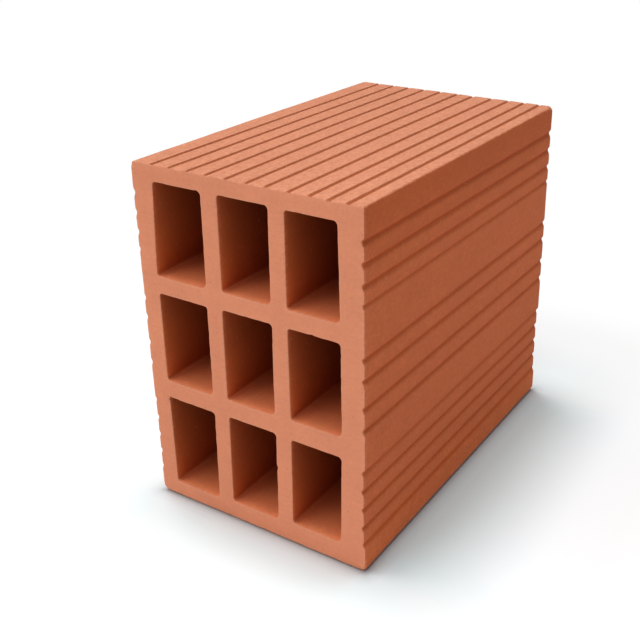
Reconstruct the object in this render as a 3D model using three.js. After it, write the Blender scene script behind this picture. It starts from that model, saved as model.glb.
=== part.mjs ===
// Hollow clay brick: one extruded and fired body with a grid of holes that run from end to end.
// Millimetres, +Z up. The holes run along Y, and the origin is under the middle of the brick.
import * as THREE from "three";

// Overall size, as the brick is laid.
const brickWidth = 125; // along X, the thickness of the wall it builds
const brickHeight = 180; // along Z, one course
const brickLength = 200; // along Y, from one wire cut to the next

// Outer walls, and the webs between the holes.
const leftWall = 10;
const rightWall = 13;
const topWall = 8;
const bottomWall = 11;
const uprightWeb = 9;
const levelWeb = 9.4;
const holeColumns = 3;
const holeRows = 3;

// Roundings: the long edges, the corners of the holes, and the chamfer all round each cut end.
const outerCornerRadius = 2.5;
const holeCornerRadius = 2;
const cutChamfer = 0.6;

// Grooves are round scoops along the whole length, so that mortar and plaster can grip.
const bedGroove = { width: 2.8, depth: 1.2, pitch: 10.45, shift: 1.9, margin: 8 };
const sideGroove = { width: 3.8, depth: 1.1 };
const lowRidgeSink = 0.6; // how far the lowest side group's ridges lie below the plain bands

// One group of side grooves stands beside each row of holes, the lowest first. Its middle is
// "rise" above the middle of the row, and "split" widens the gap there.
const sideGroups = [
  { count: 5, pitch: 9.7, split: 0, rise: -1.1 },
  { count: 4, pitch: 10.7, split: 3.1, rise: 0.7 },
  { count: 4, pitch: 9.7, split: 0, rise: 1.6 },
];
const leastLand = 1.5; // flat left between a groove and the next groove or rounded edge

const arcDetail = 3; // each arc of the section has twice as many straight steps

// Size and place of the holes, from the walls and webs. Distances run from the left and the bottom.
const holeWidth =
  (brickWidth - leftWall - rightWall - (holeColumns - 1) * uprightWeb) / holeColumns;
const holeHeight =
  (brickHeight - topWall - bottomWall - (holeRows - 1) * levelWeb) / holeRows;
const holeLeft = (column) => leftWall + column * (holeWidth + uprightWeb);
const holeBottom = (row) => bottomWall + row * (holeHeight + levelWeb);

// Middles of a group of like grooves round one place on a face, without those that reach past
// "low" or "high". A split moves the two halves of the group apart.
function grooveMiddles(middle, { count, pitch, split }, width, low, high) {
  const reach = width / 2 + leastLand;
  const fromMiddle = Array.from({ length: count }, (_, i) => i - (count - 1) / 2);
  return fromMiddle
    .map((steps) => middle + steps * pitch + (Math.sign(steps) * split) / 2)
    .filter((place) => place - reach >= low && place + reach <= high);
}

// The grooves of the top and the bottom, measured from the left edge.
function bedGrooves() {
  const { width, depth, pitch, shift, margin } = bedGroove;
  const count = Math.floor((brickWidth - 2 * margin) / pitch) + 1;
  const places = grooveMiddles(
    brickWidth / 2 + shift,
    { count, pitch, split: 0 },
    width,
    outerCornerRadius,
    brickWidth - outerCornerRadius,
  );
  return places.map((place) => ({ place, width, depth, sink: 0, before: 0, after: 0 }));
}

// The grooves of the left and right faces, measured from the bottom. The ridges of the lowest
// group are sunk below the plain bands, so its first and last grooves step down and up again.
function sideGrooves() {
  return Array.from({ length: holeRows }, (_, row) => {
    const sideGroup = sideGroups[row % sideGroups.length];
    const webBelow = holeBottom(row) - levelWeb / 2;
    const webAbove = holeBottom(row + 1) - levelWeb / 2;
    const places = grooveMiddles(
      holeBottom(row) + holeHeight / 2 + sideGroup.rise,
      sideGroup,
      sideGroove.width,
      row === 0 ? outerCornerRadius : webBelow,
      row === holeRows - 1 ? brickHeight - outerCornerRadius : webAbove,
    );
    const sink = row === 0 ? lowRidgeSink : 0;
    return places.map((place, i) => ({
      ...sideGroove,
      place,
      sink,
      before: i === 0 ? 0 : sink,
      after: i === places.length - 1 ? 0 : sink,
    }));
  }).flat();
}

// Draws one face of the section and the rounded corner at its end, anticlockwise from the sharp
// corner (startX, startY). "heading" is the direction of travel, with the clay on its left. Each
// groove is an arc of its width and depth, cut from the level of its ridges. The straight
// stretches come by themselves, because an arc is joined to the point before it.
function drawFace(outline, startX, startY, heading, length, grooves) {
  const along = new THREE.Vector2(Math.cos(heading), Math.sin(heading));
  const inward = new THREE.Vector2(-along.y, along.x);
  const inwardAngle = heading + Math.PI / 2;
  const point = (distance, depth) =>
    new THREE.Vector2(startX, startY)
      .addScaledVector(along, distance)
      .addScaledVector(inward, depth);
  const lineTo = (distance, depth) => outline.lineTo(...point(distance, depth).toArray());
  for (const { place, width, depth, sink, before, after } of grooves) {
    const radius = (width * width) / (8 * depth) + depth / 2;
    const halfAngle = Math.atan2(width / 2, radius - depth);
    const centre = point(place, sink + depth - radius);
    const arcStart = inwardAngle + halfAngle;
    const arcEnd = inwardAngle - halfAngle;
    if (before !== sink) lineTo(place - width / 2, before);
    outline.absarc(centre.x, centre.y, radius, arcStart, arcEnd, true);
    if (after !== sink) lineTo(place + width / 2, after);
  }
  const turn = point(length - outerCornerRadius, outerCornerRadius);
  outline.absarc(turn.x, turn.y, outerCornerRadius, heading - Math.PI / 2, heading, false);
}

// The same grooves met in the opposite order, for a face drawn from its other end.
function reversed(grooves, length) {
  return grooves
    .map((groove) => ({
      ...groove,
      place: length - groove.place,
      before: groove.after,
      after: groove.before,
    }))
    .reverse();
}

// The outer outline of the section, with x across the brick and y up.
function sectionOutline() {
  const left = -brickWidth / 2;
  const right = brickWidth / 2;
  const up = Math.PI / 2;
  const outline = new THREE.Shape();
  drawFace(outline, left, 0, 0, brickWidth, bedGrooves());
  drawFace(outline, right, 0, up, brickHeight, sideGrooves());
  drawFace(outline, right, brickHeight, 2 * up, brickWidth, reversed(bedGrooves(), brickWidth));
  drawFace(outline, left, brickHeight, 3 * up, brickHeight, reversed(sideGrooves(), brickHeight));
  return outline;
}

// One hole of the section: a rectangle whose corners are joined arcs.
function holeOutline(column, row) {
  const r = holeCornerRadius;
  const left = -brickWidth / 2 + holeLeft(column) + r;
  const right = left + holeWidth - 2 * r;
  const bottom = holeBottom(row) + r;
  const top = bottom + holeHeight - 2 * r;
  const quarter = Math.PI / 2;
  const hole = new THREE.Path();
  hole.absarc(right, top, r, 0, quarter, false);
  hole.absarc(left, top, r, quarter, 2 * quarter, false);
  hole.absarc(left, bottom, r, 2 * quarter, 3 * quarter, false);
  hole.absarc(right, bottom, r, 3 * quarter, 4 * quarter, false);
  return hole;
}

// The section carried along the length, with its cut edges chamfered, and laid with +Z up.
function brickGeometry() {
  const section = sectionOutline();
  for (let row = 0; row < holeRows; row += 1) {
    for (let column = 0; column < holeColumns; column += 1) {
      section.holes.push(holeOutline(column, row));
    }
  }
  const geometry = new THREE.ExtrudeGeometry(section, {
    depth: brickLength - 2 * cutChamfer,
    steps: 1,
    curveSegments: arcDetail,
    bevelEnabled: true,
    bevelSegments: 1,
    bevelThickness: cutChamfer,
    bevelSize: cutChamfer,
    bevelOffset: -cutChamfer,
  });
  geometry.rotateX(Math.PI / 2);
  geometry.translate(0, brickLength / 2 - cutChamfer, 0);
  return geometry;
}

const firedClay = new THREE.MeshStandardMaterial({
  color: new THREE.Color().setRGB(0.8, 0.5, 0.375, THREE.SRGBColorSpace),
  roughness: 0.9,
  metalness: 0,
});

const brick = new THREE.Mesh(brickGeometry(), firedClay);
brick.name = "brick";

const group = new THREE.Group();
group.add(brick);

export default group;
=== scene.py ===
import math

import bmesh
import bpy
import numpy as np
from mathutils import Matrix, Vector


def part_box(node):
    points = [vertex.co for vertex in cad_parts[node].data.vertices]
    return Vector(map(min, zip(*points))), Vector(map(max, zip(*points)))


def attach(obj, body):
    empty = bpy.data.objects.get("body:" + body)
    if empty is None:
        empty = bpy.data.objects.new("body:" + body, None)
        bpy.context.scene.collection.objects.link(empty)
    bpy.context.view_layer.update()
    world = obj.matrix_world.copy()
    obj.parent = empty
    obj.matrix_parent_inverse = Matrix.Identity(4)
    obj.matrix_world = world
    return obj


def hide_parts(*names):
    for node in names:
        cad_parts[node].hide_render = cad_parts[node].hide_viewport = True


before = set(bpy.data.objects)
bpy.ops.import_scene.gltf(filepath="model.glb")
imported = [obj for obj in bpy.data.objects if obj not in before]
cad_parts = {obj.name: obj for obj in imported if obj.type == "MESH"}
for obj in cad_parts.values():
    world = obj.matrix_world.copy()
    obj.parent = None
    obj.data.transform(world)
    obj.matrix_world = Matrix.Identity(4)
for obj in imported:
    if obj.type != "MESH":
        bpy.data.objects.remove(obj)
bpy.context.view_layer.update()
millimetre = 0.001

brickForm = {
    # each hole, from the foot up and from the left: left and right at its foot, left and right at
    # its top, foot and top, measured from the left side and the floor
    "holes": [
        [
            (10.8, 38.1, 10.6, 39.1, 9.7, 59.3),
            (47.7, 75.0, 48.5, 76.0, 11.3, 59.9),
            (84.3, 111.2, 85.1, 112.3, 12.6, 59.3),
        ],
        [
            (10.5, 39.0, 10.7, 39.4, 69.4, 115.9),
            (48.3, 75.8, 48.8, 76.5, 69.9, 116.5),
            (85.3, 112.6, 85.4, 112.6, 70.6, 116.7),
        ],
        [
            (10.3, 39.7, 12.8, 40.3, 125.5, 171.5),
            (49.5, 76.3, 50.0, 77.1, 126.1, 171.7),
            (85.5, 112.6, 86.0, 112.0, 126.4, 171.4),
        ],
    ],
    # radii of the long edges at the near end: foot left, foot right, top right, top left
    "nearEdges": (2.8, 3.4, 0.9, 2.2),
    "farEdges": (2.8, 3.2, 3.2, 2.4),  # and at the far end, where the corners are knocked round
    "knockedOver": 9.0,  # length over which the near radii go over into the far ones
    "holeCorners": (1.7, 2.5, 1.9, 1.2),  # radii of the holes' corners, in the same order
    "cutEdge": (0.5, 1.1),  # radius round the outside of the near cut and of the far cut
    # the same along the foot, where the brick stood while it was wet: it has to stay below the
    # foot's own radii above
    "cutFoot": 2.2,
    "cutFootOver": (0.5, 4.5),  # heights between which it goes over into the rest
    "mouthEdge": 0.35,  # and round the mouths of the holes
    "farLean": 2.4,  # how far the top right corner of the far cut leans back in
    "cutReach": 0.25,  # how far from a cut its own finish reaches round the edge
    "wornReach": 0.9,  # and how far the wear does
}

bedGrooves = {
    # middles, right of the middle of the bed
    "middles": [-49.8, -39.3, -28.9, -18.3, -7.4, 3.8, 13.8, 25.8, 36.1, 45.7, 54.7],
    "halfWidth": 1.12,
    "depth": 1.0,
    "flatness": 2.2,  # 2 is a plain arch, more is a flatter floor
    "shoulder": 0.75,  # less is a steeper side
    "smeared": 0.75,  # share of the depth that the wire drags shut at a cut
    "smearedFrom": 0.2,  # distances from the cut between which the groove opens
    "smearedOver": 2.4,
    "footSmeared": 0.95,  # the same on the underside, where the brick stood while it was wet
    "footSmearedOver": 7.0,
}

sideGrooves = {
    # for each groove from the foot up: its middle above the floor, depth and width, and how much
    # painted shade it gets
    "table": [
        (15.7, 0.65, 4.8, 0.95),
        (25.1, 0.6, 4.6, 1.0),
        (35.2, 0.6, 4.6, 1.0),
        (45.1, 0.6, 4.6, 1.0),
        (55.4, 0.6, 4.8, 1.0),
        (77.0, 0.6, 4.8, 1.0),
        (87.9, 0.6, 4.8, 1.0),
        (101.6, 0.6, 4.8, 1.0),
        (111.9, 0.6, 4.8, 1.0),
        (136.9, 0.45, 3.6, 0.85),
        (145.6, 0.6, 4.8, 1.0),
        (155.2, 0.65, 4.9, 1.0),
        (164.9, 0.7, 5.0, 1.0),
    ],
    "higher": 0.43,  # share of the width above the middle
    "leftShare": 0.9,  # the left side's grooves are shallower
    "lowest": 5,  # how many of them make the lowest group
    "sinkLeft": 0.3,  # how far the ridges of the lowest group lie back
    "sinkRight": 0.7,
    "sinkStart": (-0.3, 2.0),  # where they step back, from the lowest groove's middle
    "sinkStop": (-1.6, 1.6),  # and out again, from the middle of the group's last groove
    "endExtra": 0.45,  # share of the depth that is added at both cuts, and how far it reaches in
    "endReach": 14.0,
    "grooveShadeAbove": 0.2,  # how far above the middle the painted groove shade is darkest
    "grooveShadeWidth": 1.05,  # share of the width that it covers
}

# where the lines of the mesh run
meshLines = {
    "widestSide": 2.3,  # largest gap between two lines, across and up the brick
    "widestAlong": 7.0,  # from end to end along the skin
    "widestLining": 44.0,  # and along a hole
    "fromBorder": 0.15,  # least gap between a wanted line and the border of a cell
    "fromNext": 0.11,  # and between two wanted lines
    "rounding": (0.2, 0.45, 0.75, 1.1, 1.6, 2.3, 3.1),  # wanted lines, in from an outside
    # and from the middle of each groove of the beds and of the sides
    "bedCurve": (-1.4, -1.12, -1.0, -0.8, -0.45, 0, 0.45, 0.8, 1.0, 1.12, 1.4),
    "sideCurve": (-3.0, -2.4, -1.8, -1.2, -0.6, 0, 0.45, 0.9, 1.35, 1.8, 2.3),
    # and from a cut, along the skin and along a hole
    "skinNearCut": (0.05, 0.17, 0.35, 0.6, 1.0, 1.7, 3.0, 5.5),
    "liningNearCut": (0.04, 0.14, 0.35, 1.0, 3.0, 6.5, 11.0, 17.0, 25.0, 36.0),
    "evenShare": 0.4,  # how even the steps along a hole's side are, 1 being wholly even
    "calmSkin": 3.4,  # how far in from the skin the calm loop of a cut lies, past the grooves
    "calmWeb": 0.6,  # and in from the middle of a web
    "calmOver": 6.0,  # length at each end of a side that is drawn in with it
    "mouthRings": (0.0, 0.1, 0.5, 1.0),  # rings of a cut, from the mouth to the calm loop
    "rimRings": (0.2, 0.0),  # and from the rim to it
    "hair": 1e-6,  # what counts as no distance
}

boxLow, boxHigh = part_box("brick")
size = (np.array(boxHigh) - np.array(boxLow)) / millimetre
halfWidth = size[0] / 2
halfLength = size[1] / 2
height = size[2]


# From 0 to 1 between low and high, level at both ends: 3 t squared less 2 t cubed.
def ease(low, high, value):
    t = np.clip((value - low) / (high - low), 0, 1)
    return t * t * (3 - 2 * t)


# Half a cosine wave: 1 at t = 0, and 0 at t = 1 and t = -1.
def halfWave(t):
    return 0.5 + 0.5 * np.cos(np.pi * np.clip(t, -1, 1))


# From 1 at no distance towards 0, and about a third at the reach: e to the power of minus the
# distance over the reach.
def fade(distance, reach):
    return np.exp(-distance / reach)


# Depth of the bed at x: depth times (1 - t^flatness)^shoulder, where t is the distance from the
# nearest groove's middle in half widths. Near a cut it is eased down to the share left open, which
# is less on the underside.
def bedDepth(x, y, z):
    g = bedGrooves
    under = np.asarray(z) < height / 2
    shut = np.where(under, g["footSmeared"], g["smeared"])
    reach = np.where(under, g["footSmearedOver"], g["smearedOver"])
    t = np.abs(np.asarray(x)[..., None] - np.array(g["middles"])).min(-1) / g["halfWidth"]
    left = 1 - shut * (1 - ease(g["smearedFrom"], reach, halfLength - np.abs(y)))
    return g["depth"] * np.clip(1 - t ** g["flatness"], 0, 1) ** g["shoulder"] * left


# Depth of a side at height z: each groove is half a cosine wave, depth times (1 + cos(pi t)) / 2,
# where t is the distance from its middle over its own reach above or below, and the deepest wins.
# The second value is how far the lowest group lies back, eased in and out at its outer grooves. The
# third is the painted shade along each groove's floor, half a cosine wave too.
def sideDepth(z, right):
    g = sideGrooves
    middles, depths, widths, grooveShades = np.array(g["table"]).T
    over = np.asarray(z)[..., None] - middles
    reach = widths * np.where(over > 0, g["higher"], 1 - g["higher"])
    grooves = (depths * halfWave(over / reach)).max(-1)
    # painted shade along each groove's floor, darkest a little above its middle
    grooveShade = (grooveShades * halfWave((over - g["grooveShadeAbove"]) / (g["grooveShadeWidth"] * widths / 2))).max(-1)
    start = ease(*(middles[0] + g["sinkStart"]), z)
    stop = ease(*(middles[g["lowest"] - 1] + g["sinkStop"]), z)
    sink = np.where(right, g["sinkRight"], g["sinkLeft"]) * (start - stop)
    return grooves * np.where(right, 1.0, g["leftShare"]), sink, grooveShade


# The radius of the corner that is nearest to each point, from the four given for a rectangle.
def cornerRadius(x, z, middleX, middleZ, radii):
    foot = np.where(x < middleX, radii[0], radii[1])
    return np.where(z < middleZ, foot, np.where(x > middleX, radii[2], radii[3]))


# The outer outline. A point of the plain rectangle is drawn to the box that is left inside the
# edge radius, and set out again along the same line by that radius less the inset and the depth
# there. The radius is eased to the far end's just before that end, and the side grooves are eased
# deeper towards both cuts. The last value is the painted shade of the grooves.
def outlinePoint(x, y, z, inset):
    far = ease(halfLength - brickForm["knockedOver"], halfLength, y)
    near = cornerRadius(x, z, 0.0, height / 2, brickForm["nearEdges"])
    radius = near + far * (cornerRadius(x, z, 0.0, height / 2, brickForm["farEdges"]) - near)
    coreX = np.clip(x, radius - halfWidth, halfWidth - radius)
    coreZ = np.clip(z, radius, height - radius)
    outX, outZ = x - coreX, z - coreZ
    away = np.hypot(outX, outZ)
    outX, outZ = outX / away, outZ / away
    bed = bedDepth(x, y, z)
    side, sink, sideGrooveShade = sideDepth(z, x > 0)
    toEnd = halfLength - np.abs(y)
    side *= 1 + sideGrooves["endExtra"] * (1 - ease(0, sideGrooves["endReach"], toEnd))
    reach = radius - inset - bed * outZ**2 - (side + sink) * outX**2
    # painted shade in the bed grooves and the side grooves
    grooveShade = bed / bedGrooves["depth"] * outZ**2 + sideGrooveShade * outX**2
    return coreX + reach * outX, coreZ + reach * outZ, grooveShade


# Stops from low to high: the wanted ones that fall between, and even steps where a gap is wide.
def fillStops(low, high, wanted, widest):
    fromBorder, fromNext = meshLines["fromBorder"], meshLines["fromNext"]
    inside = np.sort(wanted[(wanted > low + fromBorder) & (wanted < high - fromBorder)])
    inside = inside[np.append(True, np.diff(inside) > fromNext)] if inside.size else inside
    stops = np.concatenate([[low], inside, [high]])
    gaps = np.diff(stops)
    parts = np.ceil(gaps / widest).astype(int)
    turn = np.arange(parts.sum()) - np.repeat(np.cumsum(parts) - parts, parts)
    return np.append(np.repeat(stops[:-1], parts) + turn * np.repeat(gaps / parts, parts), high)


# Stops along one side of a hole, closer together near its rounded corners: an even step mixed with
# half a cosine.
def holeStops(low, high, count):
    u = np.linspace(0, 1, count)
    even = meshLines["evenShare"]
    return low + (high - low) * (even * u + (1 - even) * (0.5 - 0.5 * np.cos(np.pi * u)))


# Once round a rectangle from its lower left corner, anticlockwise, through the given stops.
def rectangleLoop(xs, zs):
    level, upright = np.ones(xs.size - 1), np.ones(zs.size - 1)
    x = np.concatenate([xs[:-1], xs[-1] * upright, xs[:0:-1], xs[0] * upright])
    z = np.concatenate([zs[0] * level, zs[:-1], zs[-1] * level, zs[:0:-1]])
    return x, z


# The mouth of a hole. Each point of the unit square's outline is set out to the hole's four sides,
# of which left and right may lean, then drawn to the box inside the corner radius and set back out
# by the radius and the flare.
def holeLoop(hole, countX, countZ, flare):
    leftFoot, rightFoot, leftTop, rightTop, bottom, top = hole
    u, v = rectangleLoop(holeStops(0, 1, countX), holeStops(0, 1, countZ))
    wide = rightFoot - leftFoot
    x, z = u * wide, bottom + v * (top - bottom)
    radius = cornerRadius(u, v, 0.5, 0.5, brickForm["holeCorners"])
    coreX, coreZ = np.clip(x, radius, wide - radius), np.clip(z, bottom + radius, top - radius)
    away = np.hypot(x - coreX, z - coreZ)
    reach = (radius + flare) / away
    x, z = coreX + (x - coreX) * reach, coreZ + (z - coreZ) * reach
    share, up = x / wide, (z - bottom) / (top - bottom)
    left = leftFoot + (leftTop - leftFoot) * up
    right = rightFoot + (rightTop - rightFoot) * up
    return left + (right - left) * share - halfWidth, z


# Which sides of a cell are on the outside: its foot, right, top and left.
def outerSides(xs, zs):
    gaps = (zs[0], halfWidth - xs[-1], height - zs[-1], xs[0] + halfWidth)
    return [gap < meshLines["hair"] for gap in gaps]


# The edge radius of a cut at height z, eased from the foot's to the rest's.
def cutRadius(y, z):
    form = brickForm
    edge = np.where(y < 0, *form["cutEdge"])
    return form["cutFoot"] + (edge - form["cutFoot"]) * ease(*form["cutFootOver"], z)


# The rim of one cell of the cut end. A side on the outside follows the outer outline, and a side on
# the middle of a web runs straight between the corners.
def cellRim(xs, zs, end):
    corners = np.array([[xs[0], zs[0]], [xs[-1], zs[0]], [xs[-1], zs[-1]], [xs[0], zs[-1]]])
    outer = outerSides(xs, zs)
    for k in range(4):
        if outer[k] or outer[k - 1]:
            x, z = corners[k]
            corners[k] = outlinePoint(x, end, z, cutRadius(end, z))[:2]
    loopX, loopZ = rectangleLoop(xs, zs)
    share = [(s - s[0]) / (s[-1] - s[0]) for s in (xs, zs, -xs[::-1], -zs[::-1])]
    start = 0
    for k in range(4):
        part = slice(start, start + share[k].size - 1)
        if outer[k]:
            x, z = loopX[part], loopZ[part]
            loopX[part], loopZ[part], _ = outlinePoint(x, end, z, cutRadius(end, z))
        else:
            run = corners[(k + 1) % 4] - corners[k]
            loopX[part] = corners[k, 0] + run[0] * share[k][:-1]
            loopZ[part] = corners[k, 1] + run[1] * share[k][:-1]
        start = part.stop
    return loopX, loopZ


# Moves stops in from both ends of a side, and only those within the reach of an end: the distance
# d from it becomes inset + d (reach - inset) / reach.
def drawIn(stops, insetLow, insetHigh):
    reach = meshLines["calmOver"]
    low, high = stops - stops[0], stops[-1] - stops
    fromLow = np.where(low < reach, insetLow * (1 - low / reach), 0)
    fromHigh = np.where(high < reach, insetHigh * (1 - high / reach), 0)
    return stops + (fromLow - fromHigh)


# A calm loop inside the rim, past the floor of the grooves, so that the lines of the mesh leave
# each groove straight.
def calmLoop(xs, zs):
    insets = [meshLines["calmSkin" if side else "calmWeb"] for side in outerSides(xs, zs)]
    foot, right, top, left = insets
    return rectangleLoop(drawIn(xs, left, right), drawIn(zs, foot, top))


# How far a tube draws in near a cut end, so that the edge is a quarter round:
# r - sqrt(r^2 - (r - d)^2) at the distance d from the end.
def cutInset(y, radius):
    short = np.clip(radius - (halfLength - np.abs(y)), 0, radius)
    return radius - np.sqrt(radius**2 - short**2)


# Stops from end to end, close together at both cut edges.
def lengthStops(near, widest):
    near = np.array(near)
    wanted = np.concatenate([near - halfLength, halfLength - near])
    return fillStops(-halfLength, halfLength, wanted, widest)


# The outside and the middles of the webs, across and up: cells meet midway between two holes.
def cellBorders():
    holes = np.array(brickForm["holes"])
    upright = np.stack([holes[:, :-1, 1], holes[:, 1:, 0]], -1).mean((0, 2))
    level = np.stack([holes[:-1, :, 5], holes[1:, :, 4]], -1).mean((1, 2))
    across = np.concatenate([[0], upright, [size[0]]]) - halfWidth
    return across, np.concatenate([[0], level, [height]])


# The stops within each cell: the lines wanted round the middle of each groove and near both
# outsides, and even steps between them.
def cellStops(borders, middles, curve):
    rounding = np.array(meshLines["rounding"])
    grooves = (np.array(middles)[:, None] + curve).ravel()
    wanted = np.concatenate([grooves, borders[0] + rounding, borders[-1] - rounding])
    pairs = zip(borders[:-1], borders[1:])
    return [fillStops(low, high, wanted, meshLines["widestSide"]) for low, high in pairs]


# One grid, as seven numbers for each point: its place, and four marks from 0 to 1 that say how
# much painted groove shade it gets, and how much it is on the cut, in a hole and near a cut edge.
def markedGrid(x, y, z, grooveShade, cut, hole, nearCut):
    return np.stack(np.broadcast_arrays(x, y, z, grooveShade, cut, hole, nearCut), -1)


# The outer skin: the outline drawn in at both cuts, carried from end to end.
def skinGrid(xs, zs):
    y = lengthStops(meshLines["skinNearCut"], meshLines["widestAlong"])[:, None]
    x, z = rectangleLoop(xs, zs)
    x, y, z = np.broadcast_arrays(x, y, z)
    x, z, grooveShade = outlinePoint(x, y, z, cutInset(y, cutRadius(y, z)))
    toEnd = halfLength - np.abs(y)
    cut, worn = fade(toEnd, brickForm["cutReach"]), fade(toEnd, brickForm["wornReach"])
    return markedGrid(x, y, z, grooveShade, cut, 0.0, worn)


# The lining of a hole: its mouth carried from end to end, flared at both cuts.
def liningGrid(hole, xs, zs):
    y = lengthStops(meshLines["liningNearCut"], meshLines["widestLining"])[:, None]
    x, z = holeLoop(hole, xs.size, zs.size, cutInset(y, brickForm["mouthEdge"]))
    toEnd = halfLength - np.abs(y)
    cut, worn = fade(toEnd, brickForm["cutReach"]), fade(toEnd, brickForm["wornReach"])
    return markedGrid(x, y, z, 0.0, cut, 1 - cut, worn)


# One cell of a cut end, in flat rings from the mouth by way of the calm loop to the rim. It is worn
# by how near it comes to the mouth or to the outside.
def cutGrid(hole, xs, zs, end):
    mouth = np.array(holeLoop(hole, xs.size, zs.size, brickForm["mouthEdge"]))
    calm = np.array(calmLoop(xs, zs))
    rim = np.array(cellRim(xs, zs, end))
    rings = [mouth + (calm - mouth) * share for share in meshLines["mouthRings"]]
    rings += [rim + (calm - rim) * share for share in meshLines["rimRings"]]
    x, z = np.stack(rings, 1)
    toMouth = np.hypot(x - mouth[0], z - mouth[1])
    toOutside = np.minimum(halfWidth - np.abs(x), np.minimum(z, height - z))
    toSkin = np.clip(toOutside - np.where(end < 0, *brickForm["cutEdge"]), 0, None)
    worn = fade(np.minimum(toMouth, toSkin), brickForm["wornReach"])
    return markedGrid(x, end, z, 0.0, 1.0, 0.0, worn)


# Every grid of the brick: the skin, and for each hole its lining and its cell of both cut ends.
def brickGrids():
    bordersX, bordersZ = cellBorders()
    sideMiddles = np.array(sideGrooves["table"])[:, 0]
    stopsX = cellStops(bordersX, bedGrooves["middles"], meshLines["bedCurve"])
    stopsZ = cellStops(bordersZ, sideMiddles, meshLines["sideCurve"])
    grids = [skinGrid(np.unique(np.concatenate(stopsX)), np.unique(np.concatenate(stopsZ)))]
    for column, xs in enumerate(stopsX):
        for row, zs in enumerate(stopsZ):
            hole = brickForm["holes"][row][column]
            grids.append(liningGrid(hole, xs, zs))
            grids += [cutGrid(hole, xs, zs, end) for end in (-halfLength, halfLength)]
    return grids


# Numbers of the corners of every square between the rows and columns of a closed grid.
def closedQuads(rows, columns):
    row, column = np.meshgrid(np.arange(rows - 1), np.arange(columns), indexing="ij")
    after = (column + 1) % columns
    here, above = row * columns, (row + 1) * columns
    corners = [here + column, here + after, above + after, above + column]
    return np.stack(corners, -1).reshape(-1, 4)


# Joins the grids into points, squares and marks. The far cut leans back by the lean times how far
# right, far and high a point is, each from 0 to 1. Points that then agree to four decimals become
# one, and its marks are the means of theirs.
def joinGrids(grids):
    table = np.concatenate([grid.reshape(-1, grid.shape[-1]) for grid in grids])
    starts = np.cumsum([0] + [grid[..., 0].size for grid in grids[:-1]])
    quads = [closedQuads(*grid.shape[:2]) + start for grid, start in zip(grids, starts)]
    points, marks = table[:, :3], table[:, 3:]
    corner = (points / (halfWidth, halfLength, height) + (1, 1, 0)) / (2, 2, 1)
    points[:, 1] -= brickForm["farLean"] * corner.prod(1)
    keys = np.round(points, 4) + 0.0
    _, first, same = np.unique(keys, axis=0, return_index=True, return_inverse=True)
    same = same.ravel()
    shared = np.bincount(same)
    marks = [np.bincount(same, mark) / shared for mark in marks.T]
    return points[first], same[np.concatenate(quads)], marks


clayRelief = {
    # for each unevenness: how deep it goes, how far from one swell to the next, and its noise
    "wander": (0.20, 70.0, 3),
    "lumps": (0.09, 10.0, 5),
    "drawnLines": (0.035, (2.2, 90.0, 2.2), 9),  # along the length, on the die's faces
    "wireLines": (0.05, (60.0, 5.0, 1.8), 11),  # across the cut
    "wireLean": 0.12,  # how far they slant in each millimetre
    "wornEdge": (0.30, 3.4, 13),  # along every cut edge
    "chips": 34,
    "chipRadius": (1.0, 2.4),
    "chipDepth": (0.15, 0.5),
    "chipFrom": 0.6,  # least wear where a chip has its middle
    "chipOutline": (0.5, 0.9, 17),  # how ragged it is, as a share of the radius
    "seed": 7,
}

scramblers = (374761393, 668265263, 2147483647, 1274126177)  # large odd numbers
fullWord = 0xFFFFFFFF


# A fixed value from 0 to 1 for each whole-number corner of space: its three numbers and the
# noise's own, each times a large odd number, then mixed three times with its own higher bits.
def cornerValue(cell, noise):
    mixed = (cell @ np.array(scramblers[:3]) + noise * scramblers[3]) & fullWord
    mixed = ((mixed ^ (mixed >> 13)) * scramblers[3]) & fullWord
    mixed = ((mixed ^ (mixed >> 16)) * scramblers[1]) & fullWord
    return (mixed ^ (mixed >> 15)) / fullWord


# Smooth value noise from 0 to 1: the eight corner values round a point, blended along each axis
# by 6 t^5 - 15 t^4 + 10 t^3.
def smoothNoise(points, noise):
    cell = np.floor(points).astype(np.int64)
    t = points - cell
    t = t**3 * (t * (6 * t - 15) + 10)
    total = np.zeros(len(points))
    for corner in np.ndindex(2, 2, 2):
        weight = np.prod(np.where(corner, t, 1 - t), axis=1)
        total += weight * cornerValue(cell + np.array(corner), noise)
    return total


# One unevenness: its depth times smooth noise, at its own distance from swell to swell.
def unevenness(name, points):
    depth, apart, noise = clayRelief[name]
    return depth * smoothNoise(points / np.array(apart), noise)


# Chips knocked out round a few worn points: small bowls of depth times (1 - distance / radius)
# eased, the distance made ragged by noise. Where two meet, the deeper wins.
def chipBowls(points, nearCut):
    relief = clayRelief
    random = np.random.default_rng(relief["seed"])
    edgePoints = np.flatnonzero(nearCut > relief["chipFrom"])
    centres = points[random.choice(edgePoints, relief["chips"], replace=False)]
    radii = random.uniform(*relief["chipRadius"], relief["chips"])
    depths = random.uniform(*relief["chipDepth"], relief["chips"])
    away = np.linalg.norm(points[:, None] - centres, axis=2)
    ragged = 1 - relief["chipOutline"][0] / 2 + unevenness("chipOutline", points)
    return (depths * ease(0, 1, 1 - away * ragged[:, None] / radii)).max(1)


# How far each point lies below the plain form: the sum of five noises at their own scales and of
# the chips. The drawn lines fade out on the cut, the wire lines off it, and the wear away from it.
def reliefDepth(points, cut, nearCut):
    slant = clayRelief["wireLean"]
    leaning = points @ np.array([[1, 0, slant], [0, 1, 0], [-slant, 0, 1]])
    plain = unevenness("wander", points) + unevenness("lumps", points)
    drawn = (1 - cut) * unevenness("drawnLines", points)
    wire = cut * unevenness("wireLines", leaning)
    worn = nearCut * unevenness("wornEdge", points)
    return plain + drawn + wire + worn + chipBowls(points, nearCut)
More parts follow.
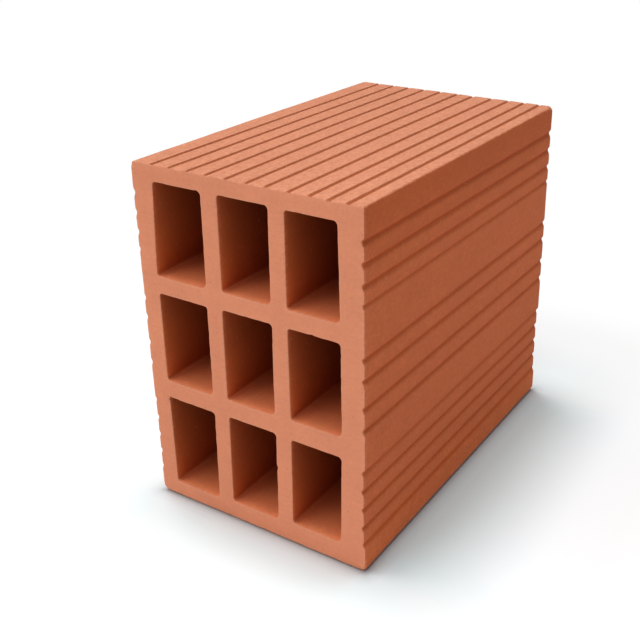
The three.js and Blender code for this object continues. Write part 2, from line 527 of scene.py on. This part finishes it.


# What the clay's material reads at each point, from 0 to 1. A flank faces sideways near a side and
# carries the sides' painted shade, a hole's floor faces up, the painted light on a hole's floor and
# at its mouth fades from the cut into the hole, the rise goes from each hole's foot to its top, and
# the long edges are worn where a point near one faces both out and up or down.
def clayMarks(points, normals, grooveShade, cut, hole, nearCut):
    clay = firedClay
    x, y, z = points.T
    nearSide = np.abs(x) > halfWidth - clay["outerReach"]
    nearBed = np.abs(z - height / 2) > height / 2 - clay["outerReach"]
    # the sides' painted shade, full on the right side and less on the left
    flank = np.where(x > 0, 1.0, clay["leftFlank"]) * np.abs(normals[:, 0])
    level = ease(*clay["levelFrom"], normals[:, 2])
    toEnd = halfLength - np.abs(y)
    holeEnds = np.array(brickForm["holes"])[:, 1, 4:]  # foot and top of each row's middle hole
    slant = np.abs(normals[:, 0] * normals[:, 2])
    slanting = np.clip(clay["slantGain"] * slant - clay["slantLoss"], 0, 1)
    longEdge = slanting * (hole < 0.5) * (nearSide & nearBed)
    return {
        # painted shade in the grooves
        "groove": grooveShade,
        "cutEnd": cut,
        "holeWall": hole,
        # painted light on the holes' floors and at their mouths, fading inwards from the cut
        "holeFloor": hole * level * fade(toEnd, clay["floorLightReach"]),
        "mouth": hole * (1 - level) * fade(toEnd, clay["mouthReach"]),
        "rise": hole * np.interp(z, holeEnds.ravel(), [0, 1] * len(holeEnds)),
        "worn": np.clip(nearCut + clay["longEdgeWear"] * longEdge, 0, 1),
        "flank": flank * (1 - hole) * nearSide,
    }


# The brick as one closed skin, sunk by the relief along its own normals, with the marks for the
# clay kept as attributes.
def makeBrick():
    points, quads, marks = joinGrids(brickGrids())
    grooveShade, cut, hole, nearCut = marks
    mesh = bpy.data.meshes.new("brickSkin")
    mesh.from_pydata((points * millimetre).tolist(), [], quads.tolist())
    shell = bmesh.new()
    shell.from_mesh(mesh)
    bmesh.ops.recalc_face_normals(shell, faces=shell.faces)
    shell.to_mesh(mesh)
    shell.free()

    normals = np.empty(points.size)
    mesh.vertices.foreach_get("normal", normals)
    normals = normals.reshape(-1, 3)
    points = points - normals * reliefDepth(points, cut, nearCut)[:, None]
    mesh.vertices.foreach_set("co", (points * millimetre).astype(np.float32).ravel())
    for name, value in clayMarks(points, normals, grooveShade, cut, hole, nearCut).items():
        layer = mesh.attributes.new(name, "FLOAT", "POINT")
        layer.data.foreach_set("value", value.astype(np.float32))
    mesh.shade_smooth()
    mesh.update()
    brick = bpy.data.objects.new("brickSkin", mesh)
    bpy.context.scene.collection.objects.link(brick)
    return brick


# A colour given as it looks on a screen, 0 to 255, as the linear values a shader needs.
def screenColour(red, green, blue):
    value = np.array([red, green, blue]) / 255
    linear = np.where(value <= 0.04045, value / 12.92, ((value + 0.055) / 1.055) ** 2.4)
    return (*linear.tolist(), 1.0)


# Adds a node of one kind and joins or sets what feeds it: a socket by its name, or by n and its
# number.
def addNode(tree, kind, settings=None, **feeds):
    node = tree.nodes.new(kind)
    for name, value in (settings or {}).items():
        setattr(node, name, value)
    for name, value in feeds.items():
        numbered = name[0] == "n" and name[1:].isdigit()
        socket = node.inputs[int(name[1:]) if numbered else name]
        if isinstance(value, bpy.types.NodeSocket):
            tree.links.new(value, socket)
        else:
            socket.default_value = value
    return node


# One number worked out from two others.
def combine(tree, operation, first, second):
    node = addNode(tree, "ShaderNodeMath", {"operation": operation}, n0=first, n1=second)
    return node.outputs[0]


# One vector worked out from one or two others, or its length.
def combineVectors(tree, operation, first, second=None):
    feeds = {"n0": first} if second is None else {"n0": first, "n1": second}
    node = addNode(tree, "ShaderNodeVectorMath", {"operation": operation}, **feeds)
    return node.outputs["Value" if operation == "LENGTH" else "Vector"]


# A vector or a colour times a number.
def scaled(tree, vector, factor):
    node = addNode(tree, "ShaderNodeVectorMath", {"operation": "SCALE"}, n0=vector, Scale=factor)
    return node.outputs[0]


# A value carried from one range to another in a straight line, or eased, and held at the ends.
def spread(tree, value, fromLow, fromHigh, toLow=0.0, toHigh=1.0, smooth=False):
    settings = {"interpolation_type": "SMOOTHSTEP" if smooth else "LINEAR", "clamp": True}
    feeds = {"n0": value, "n1": fromLow, "n2": fromHigh, "n3": toLow, "n4": toHigh}
    return addNode(tree, "ShaderNodeMapRange", settings, **feeds).outputs[0]


# The first colour at the factor 0, going over to the second, or to their product, at 1.
def blendColour(tree, factor, first, second, way="MIX"):
    settings = {"data_type": "RGBA", "blend_type": way, "clamp_factor": True}
    return addNode(tree, "ShaderNodeMix", settings, n0=factor, n6=first, n7=second).outputs[2]


# A noise as a colour to multiply with: each channel runs from one less its swing to one more.
def spreadColour(tree, value, swings):
    red, green, blue = [spread(tree, value, *noiseSpan, 1 - swing, 1 + swing) for swing in swings]
    return addNode(tree, "ShaderNodeCombineColor", n0=red, n1=green, n2=blue).outputs[0]


# Noise on the object's own coordinates in millimetres, with its own stretch along each axis. The
# offset takes it to a part of the pattern that no other noise shows.
def noiseLayer(tree, place, perMillimetre, detail, roughness, lean, offset):
    stretch = [1000 * s for s in perMillimetre]
    shift = (offset, offset * 0.7, offset * 1.3)
    turn = (0.0, lean, 0.0)
    feeds = {"Vector": place, "Scale": stretch, "Rotation": turn, "Location": shift}
    mapped = addNode(tree, "ShaderNodeMapping", **feeds).outputs[0]
    feeds = {"Vector": mapped, "Scale": 1.0, "Detail": detail, "Roughness": roughness}
    return addNode(tree, "ShaderNodeTexNoise", **feeds).outputs[0]


# Small cells of a Voronoi pattern: the distance from the middle of each, and three numbers from 0
# to 1 that are its own.
def cellLayer(tree, place, perMillimetre):
    stretch = (1000 * perMillimetre,) * 3
    mapped = addNode(tree, "ShaderNodeMapping", Vector=place, Scale=stretch).outputs[0]
    settings = {"feature": "F1"}
    cells = addNode(tree, "ShaderNodeTexVoronoi", settings, Vector=mapped, Scale=1.0)
    own = addNode(tree, "ShaderNodeSeparateColor", n0=cells.outputs["Color"])
    return cells.outputs["Distance"], own.outputs


firedClay = {
    "skin": (206, 135, 103),  # the bed faces, as drawn from the die
    "flank": (199, 104, 61),  # the sides, painted darker and more saturated as shade
    "cut": (231, 147, 111),  # the wire-cut ends
    "lining": (160, 72, 28),  # inside the holes, painted darker than the skin as shade
    "lowLining": 1.22,  # painted shade: brightness of a hole's sides at its foot and at its top
    "highLining": 0.68,
    "holeFloor": (252, 146, 97),  # painted light on their floors, palest near the mouth
    "floorLightReach": 24.0,  # length over which it goes to about a third
    "mouth": (208, 103, 53),  # the first stretch of a hole, painted paler as the light that falls in at the mouth
    "mouthReach": 9.0,  # length over which it goes to about a third
    "levelFrom": (0.3, 0.9),  # rise of a face's normal where the floors' painted light starts, and where it is full
    "bedGrooveShade": (0.62, 0.34, 0.08, 1.0),  # what the painted shade in a groove leaves of the colour
    "sideGrooveShade": (0.78, 0.555, 0.3, 1.0),
    "worn": (232, 160, 126),  # rubbed edges
    "wornShare": (0.10, 0.45),  # how much of it shows in the darker and in the paler clouds
    "wornClouds": (0.35, 0.65),
    "longEdgeWear": 0.7,  # share of that wear on the long edges
    "slantGain": 4.0,  # how sharply it grows with the slant of a face, and where it starts
    "slantLoss": 0.6,
    "outerReach": 3.0,  # how far in from a side or a bed its own colour and wear go
    "darkGrain": (150, 78, 50),
    "paleGrain": (240, 184, 152),
    "nearBedLight": 1.05,  # painted light: brightness of the beds at the near end and at the far end
    "farBedLight": 0.93,
    "leftFlank": 0.4,  # share of the sides' painted shade on the left side, whose colour is nearer to the beds'
    "flankFoot": (220, 118, 67),  # the sides at the foot and at the top: painted light at the foot, painted shade at the top
    "flankTop": (184, 90, 46),
    "flankFootOver": (0.0, 26.0),  # heights between which the foot's colour goes
    "flankTopOver": (145.0, 175.0),  # and the top's comes
    "shadeRange": (0.965, 1.035),  # brightness that kiln shades and mottling each give
    "lineSwing": (0.025, 0.025, 0.025),  # how far drawn and wire lines brighten or darken the clay
    "cloudSwings": (0.104, 0.16, 0.2),  # the same for specks of two millimetres and for fine grain
    "grainSwings": (0.156, 0.24, 0.3),
    "sideGrain": 0.7,  # share of them on the sides, in the holes and on the cuts
    "holeGrain": 0.35,
    "cutGrain": 0.28,
    "roughness": 0.9,
    "cloudRough": 0.05,  # how far specks and fine grain raise or lower it
    "grainRough": 0.04,
    "refraction": 1.45,
    "gloss": 0.25,
    "cloudBump": 0.08,  # heights of specks, fine grain and lines, and depth of pits
    "grainBump": 0.04,
    "lineBump": 0.04,
    "pitBump": 0.07,
    "bumpStrength": 0.8,
}

# For each noise: swells in each millimetre along x, y and z, detail, roughness, lean and offset.
clayNoises = {
    "kiln": ((0.014, 0.010, 0.017), 2.0, 0.5, 0.0, 3.1),
    "mottle": ((0.09, 0.07, 0.09), 4.0, 0.6, 0.0, 7.7),
    "cloud": ((0.55, 0.45, 0.55), 4.0, 0.6, 0.0, 1.3),
    "grain": ((2.6, 2.6, 2.6), 3.0, 0.7, 0.0, 5.9),
    "drawn": ((0.9, 0.012, 0.9), 4.0, 0.65, 0.0, 2.3),
    "wire": ((0.05, 0.05, 0.85), 4.0, 0.65, 0.12, 4.7),
}
noiseSpan = (0.3, 0.7)  # what nearly all of a noise lies between

claySpecks = {
    "grainCells": 0.62,  # cells in a millimetre, each of which may hold one grain of sand or grog
    "grainEdge": (0.16, 0.26),  # where a grain's colour starts to go, in cells from its middle
    "darkPick": (0.92, 0.95),  # own numbers of the cells that hold one: from faint to full
    "darkShare": 0.3,
    "palePick": (0.93, 0.96),
    "paleShare": 0.2,
    "pitCells": 0.4,  # the same for pits
    "pitEdge": (0.05, 0.2),
    "pitPick": (0.92, 0.95),
}


# One of the clay's colours by its name, as linear values.
def tone(name):
    return screenColour(*firedClay[name])


# A colour for each kind of face. The beds are painted paler towards the near end as a falling
# light, and the sides carry painted shade, lighter at the foot and deeper towards the top. A hole's
# sides carry painted shade, darker from foot to top, with painted light near its mouth and on its
# floor. Painted shade multiplies the colour in the grooves, and worn edges go over into a paler
# one.
def faceColour(tree, place, marks, cloud):
    clay = firedClay
    where = addNode(tree, "ShaderNodeSeparateXYZ", n0=place).outputs
    ends = (-halfLength * millimetre, halfLength * millimetre)
    # painted light: the beds brighter at the near end and darker at the far end
    bedLightFalloff = spread(tree, where[1], *ends, clay["nearBedLight"], clay["farBedLight"])
    bed = scaled(tree, tone("skin")[:3], bedLightFalloff)
    footOver = [h * millimetre for h in clay["flankFootOver"]]
    topOver = [h * millimetre for h in clay["flankTopOver"]]
    # painted shade on the sides: lighter at the foot and darker towards the top
    atFoot = spread(tree, where[2], *footOver, 1.0, 0.0)
    flank = blendColour(tree, atFoot, tone("flank"), tone("flankFoot"))
    flank = blendColour(tree, spread(tree, where[2], *topOver), flank, tone("flankTop"))
    colour = blendColour(tree, marks["flank"], bed, flank)
    # painted shade inside the holes: darker than the skin, darker still towards each hole's top,
    # and painted paler near the mouth
    liningShade = spread(tree, marks["rise"], 0.0, 1.0, clay["lowLining"], clay["highLining"])
    lining = blendColour(tree, marks["mouth"], tone("lining"), tone("mouth"))
    colour = blendColour(tree, marks["holeWall"], colour, scaled(tree, lining, liningShade))
    # painted light on the holes' floors near the mouth
    colour = blendColour(tree, marks["holeFloor"], colour, tone("holeFloor"))
    colour = blendColour(tree, marks["cutEnd"], colour, tone("cut"))
    # painted shade in the grooves multiplies the colour
    grooveShade = blendColour(tree, marks["flank"], clay["bedGrooveShade"], clay["sideGrooveShade"])
    colour = blendColour(tree, marks["groove"], colour, grooveShade, "MULTIPLY")
    patchy = spread(tree, cloud, *clay["wornClouds"], *clay["wornShare"])
    rubbed = combine(tree, "MULTIPLY", marks["worn"], patchy)
    return blendColour(tree, rubbed, colour, tone("worn"))


# The colour times each noise. Kiln shades, mottling and lines change it by a few parts in a
# hundred, and specks and fine grain by up to twenty and thirty: all of that on the beds, less on
# the sides and in the holes, and least on the cuts.
def unevenColour(tree, colour, marks, noises):
    clay = firedClay
    kiln = spread(tree, noises["kiln"], *noiseSpan, *clay["shadeRange"])
    mottle = spread(tree, noises["mottle"], *noiseSpan, *clay["shadeRange"])
    drawn = spreadColour(tree, noises["drawn"], clay["lineSwing"])
    wire = spreadColour(tree, noises["wire"], clay["lineSwing"])
    lines = blendColour(tree, marks["cutEnd"], drawn, wire)
    shaded = scaled(tree, colour, combine(tree, "MULTIPLY", kiln, mottle))
    colour = blendColour(tree, 1.0, shaded, lines, "MULTIPLY")
    share = spread(tree, marks["flank"], 0.0, 1.0, 1.0, clay["sideGrain"])
    for mark, least in (("holeWall", clay["holeGrain"]), ("cutEnd", clay["cutGrain"])):
        share = combine(tree, "MULTIPLY", share, spread(tree, marks[mark], 0.0, 1.0, 1.0, least))
    for name, swings in (("cloud", clay["cloudSwings"]), ("grain", clay["grainSwings"])):
        layer = spreadColour(tree, noises[name], swings)
        colour = blendColour(tree, share, colour, layer, "MULTIPLY")
    return colour


# Sand and grog: sparse dark and pale grains, each the core of a small cell that is picked by its
# own number.
def grainyColour(tree, colour, place):
    specks = claySpecks
    distance, own = cellLayer(tree, place, specks["grainCells"])
    core = spread(tree, distance, *specks["grainEdge"], 1.0, 0.0)
    darkPick = spread(tree, own[0], *specks["darkPick"], 0.0, specks["darkShare"])
    palePick = spread(tree, own[1], *specks["palePick"], 0.0, specks["paleShare"])
    for pick, name in ((darkPick, "darkGrain"), (palePick, "paleGrain")):
        amount = combine(tree, "MULTIPLY", core, pick)
        colour = blendColour(tree, amount, colour, tone(name))
    return colour


# Height of the clay for its bump, in millimetres: specks and fine grain everywhere, drawn lines off
# the cut and wire lines on it, less small pits where grains fell out.
def clayHeight(tree, place, marks, noises):
    clay, specks = firedClay, claySpecks
    distance, own = cellLayer(tree, place, specks["pitCells"])
    bowl = spread(tree, distance, *specks["pitEdge"], 1.0, 0.0, True)
    pits = combine(tree, "MULTIPLY", bowl, spread(tree, own[2], *specks["pitPick"]))
    offCut = combine(tree, "SUBTRACT", 1.0, marks["cutEnd"])
    drawn = combine(tree, "MULTIPLY", noises["drawn"], offCut)
    wire = combine(tree, "MULTIPLY", noises["wire"], marks["cutEnd"])
    high = combine(tree, "MULTIPLY", noises["grain"], clay["grainBump"])
    high = combine(tree, "ADD", high, combine(tree, "MULTIPLY", noises["cloud"], clay["cloudBump"]))
    drawn, wire = [combine(tree, "MULTIPLY", line, clay["lineBump"]) for line in (drawn, wire)]
    high = combine(tree, "ADD", high, combine(tree, "ADD", drawn, wire))
    return combine(tree, "SUBTRACT", high, combine(tree, "MULTIPLY", pits, clay["pitBump"]))


# Fired clay from noises of many sizes on object coordinates: broad kiln shades, finger-sized
# mottling and fine grain over a colour for each kind of face, some with painted light and shade,
# with grains, lines and small pits.
def makeClay():
    material = bpy.data.materials.new("firedClay")
    material.use_nodes = True
    tree = material.node_tree
    tree.nodes.clear()
    clay = firedClay
    place = addNode(tree, "ShaderNodeTexCoord").outputs["Object"]
    marks = {
        name: addNode(tree, "ShaderNodeAttribute", {"attribute_name": name}).outputs["Fac"]
        for name in ("groove", "cutEnd", "holeWall", "holeFloor", "mouth", "rise", "worn", "flank")
    }
    noises = {name: noiseLayer(tree, place, *row) for name, row in clayNoises.items()}
    colour = faceColour(tree, place, marks, noises["cloud"])
    colour = unevenColour(tree, colour, marks, noises)
    colour = grainyColour(tree, colour, place)

    middle, swing = clay["roughness"], clay["cloudRough"]
    rough = spread(tree, noises["cloud"], *noiseSpan, middle - swing, middle + swing)
    swing = clay["grainRough"]
    fine = spread(tree, noises["grain"], *noiseSpan, -swing, swing)
    rough = combine(tree, "ADD", rough, fine)

    high = clayHeight(tree, place, marks, noises)
    feeds = {"Height": high, "Strength": clay["bumpStrength"], "Distance": millimetre}
    bump = addNode(tree, "ShaderNodeBump", **feeds).outputs[0]
    shader = addNode(tree, "ShaderNodeBsdfPrincipled", Roughness=rough, Normal=bump)
    tree.links.new(colour, shader.inputs["Base Color"])
    shader.inputs["IOR"].default_value = clay["refraction"]
    shader.inputs["Specular IOR Level"].default_value = clay["gloss"]
    output = addNode(tree, "ShaderNodeOutputMaterial")
    tree.links.new(shader.outputs[0], output.inputs["Surface"])
    return material


studio = {
    "floorSize": 12000.0,
    "floorShade": 0.9,
    # paints shade and tint on the floor that the camera sees: a dark contact shadow along the
    # brick's foot, a slight lightening of its shadow further out, and the clay's warm bounce evened
    # out; distance from the brick's foot, and the tint there
    "seenShadeAndTints": (
        (0.0, (0.55, 0.62, 0.66)),
        (2.0, (0.7, 0.84, 0.89)),
        (4.0, (0.78, 0.95, 1.0)),
        (8.0, (0.86, 1.05, 1.1)),
        (15.0, (0.885, 1.08, 1.11)),
        (25.0, (0.925, 1.09, 1.11)),
        (45.0, (0.97, 1.06, 1.09)),
        (65.0, (1.0, 1.05, 1.07)),
        (90.0, (0.99, 1.01, 1.02)),
    ),
    "otherTint": 0.5,  # share of the tint's colour off the right side, where less of it bounces
    "tintEdge": 15.0,  # length over which the tint's colour goes over into that share
    "fadeMiddle": (40.0, 60.0),  # the floor runs out to plain white for the camera round this place
    "fadeFrom": 230.0,
    "fadeTo": 480.0,
    "roomLight": 0.22,
    # how far left of the front each lamp stands and how high, in degrees, then its strength and
    # how many degrees it spans
    "lamps": {
        "frontLamp": (0.0, 60.0, 0.36, 40.0),
        "sideLamp": (45.0, 50.0, 0.71, 40.0),
        "leftTopLamp": (96.7, 78.3, 1.51, 18.0),
        "backTopLamp": (-154.6, 81.4, 0.63, 13.0),
    },
}


# 1 where the camera looks, straight or by way of gloss or glass, and 0 for light on its way.
def seenRay(tree):
    path = addNode(tree, "ShaderNodeLightPath").outputs
    seen = combine(tree, "MAXIMUM", path["Is Camera Ray"], path["Is Glossy Ray"])
    return combine(tree, "MAXIMUM", seen, path["Is Transmission Ray"])


# The painted shade and tint of the floor that the camera sees, with a painted contact shadow at the
# brick's foot: a ramp over the distance from the brick's footprint, which is the length of what
# lies past its two half sizes, going over into less of its colour left of the right side and past
# both ends.
def paintedFloorShade(tree, place):
    tints, shade = studio["seenShadeAndTints"], studio["floorShade"]
    farthest = tints[-1][0]
    halfX, halfY = halfWidth * millimetre, halfLength * millimetre
    folded = combineVectors(tree, "ABSOLUTE", place)
    past = combineVectors(tree, "SUBTRACT", folded, (halfX, halfY, 0.0))
    past = combineVectors(tree, "MAXIMUM", past, (0.0, 0.0, 0.0))
    past = combineVectors(tree, "LENGTH", past)
    far = spread(tree, past, 0.0, farthest * millimetre)
    ramp = addNode(tree, "ShaderNodeValToRGB", n0=far)
    stops = ramp.color_ramp.elements
    for _ in tints[2:]:
        stops.new(0.5)
    for stop, (reach, tint) in zip(stops, tints):
        stop.position = reach / farthest
        stop.color = [shade * part for part in tint] + [1.0]
    grey = addNode(tree, "ShaderNodeRGBToBW", n0=ramp.outputs[0]).outputs[0]
    placeX = addNode(tree, "ShaderNodeSeparateXYZ", n0=place).outputs[0]
    foldedY = addNode(tree, "ShaderNodeSeparateXYZ", n0=folded).outputs[1]
    edge, most = studio["tintEdge"] * millimetre, 1 - studio["otherTint"]
    leftward = spread(tree, placeX, halfX - edge, halfX, most, 0.0)
    beyond = spread(tree, foldedY, halfY - edge, halfY, 0.0, most)
    plain = combine(tree, "MAXIMUM", leftward, beyond)
    return blendColour(tree, plain, ramp.outputs[0], grey)


# A pale matte floor, one large square. For the camera it has its painted shade and tint, and eases
# out to plain white with the distance from a place near the brick.
def makeFloor():
    half = studio["floorSize"] * millimetre / 2
    mesh = bpy.data.meshes.new("studioFloor")
    corners = [(-half, -half, 0), (half, -half, 0), (half, half, 0), (-half, half, 0)]
    mesh.from_pydata(corners, [], [(0, 1, 2, 3)])
    floor = bpy.data.objects.new("studioFloor", mesh)
    bpy.context.scene.collection.objects.link(floor)
    material = bpy.data.materials.new("paleFloor")
    material.use_nodes = True
    tree = material.node_tree
    tree.nodes.clear()
    place = addNode(tree, "ShaderNodeTexCoord").outputs["Object"]
    middle = [-m * millimetre for m in studio["fadeMiddle"]] + [0.0]
    away = combineVectors(tree, "LENGTH", combineVectors(tree, "ADD", place, middle))
    fadeOver = (studio["fadeFrom"] * millimetre, studio["fadeTo"] * millimetre)
    seen = seenRay(tree)
    whiter = combine(tree, "MULTIPLY", spread(tree, away, *fadeOver, 0.0, 1.0, True), seen)
    shade = studio["floorShade"]
    # for the camera the floor takes its painted contact shadow and tint
    tone = blendColour(tree, seen, (shade, shade, shade, 1.0), paintedFloorShade(tree, place))
    matte = addNode(tree, "ShaderNodeBsdfDiffuse", Color=tone).outputs[0]
    white = addNode(tree, "ShaderNodeEmission", Strength=1.0).outputs[0]
    mixed = addNode(tree, "ShaderNodeMixShader", n0=whiter, n1=matte, n2=white)
    output = addNode(tree, "ShaderNodeOutputMaterial")
    tree.links.new(mixed.outputs[0], output.inputs["Surface"])
    mesh.materials.append(material)


# A room that lights the brick weakly from all round and looks white to the camera, and the lamps,
# each a far disc whose direction comes from its two angles.
def makeLights():
    world = bpy.data.worlds.new("studioRoom")
    bpy.context.scene.world = world
    world.use_nodes = True
    tree = world.node_tree
    tree.nodes.clear()
    glow = spread(tree, seenRay(tree), 0.0, 1.0, studio["roomLight"], 1.0)
    back = addNode(tree, "ShaderNodeBackground", Color=(1, 1, 1, 1), Strength=glow)
    output = addNode(tree, "ShaderNodeOutputWorld")
    tree.links.new(back.outputs[0], output.inputs["Surface"])

    for name, (around, up, strength, span) in studio["lamps"].items():
        around, up = math.radians(around), math.radians(up)
        flat = math.cos(up)
        direction = (-math.sin(around) * flat, -math.cos(around) * flat, math.sin(up))
        lamp = bpy.data.lights.new(name, "SUN")
        lamp.energy = strength
        lamp.angle = math.radians(span)
        holder = bpy.data.objects.new(name, lamp)
        holder.rotation_mode = "QUATERNION"
        holder.rotation_quaternion = Vector(direction).to_track_quat("Z", "Y")
        bpy.context.scene.collection.objects.link(holder)


viewpoint = {
    "place": (247.2, -396.5, 301.6),
    "turn": (66.19, 0.253, 31.958),  # degrees about X, Y and Z
    "lens": 53.43,
    "sensor": 36.0,
    "shift": (-0.0656, -0.0563),  # shares of the picture's width
    "nearest": 10.0,  # what the camera sees begins and ends here
    "farthest": 50000.0,
}


# The camera at its place, turned and shifted as the dictionary says.
def makeCamera():
    data = bpy.data.cameras.new("camera")
    data.sensor_width = viewpoint["sensor"]
    data.lens = viewpoint["lens"]
    data.shift_x, data.shift_y = viewpoint["shift"]
    data.clip_start = viewpoint["nearest"] * millimetre
    data.clip_end = viewpoint["farthest"] * millimetre
    camera = bpy.data.objects.new("camera", data)
    camera.location = [c * millimetre for c in viewpoint["place"]]
    camera.rotation_euler = [math.radians(a) for a in viewpoint["turn"]]
    bpy.context.scene.collection.objects.link(camera)
    bpy.context.scene.camera = camera


print("camera and studio")
makeCamera()
makeFloor()
makeLights()

print("brick")
brickSkin = makeBrick()
print("clay")
brickSkin.data.materials.append(makeClay())
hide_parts("brick")
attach(brickSkin, "root")
print("brick faces", len(brickSkin.data.polygons), "points", len(brickSkin.data.vertices))

bpy.context.scene.view_settings.view_transform = "Standard"
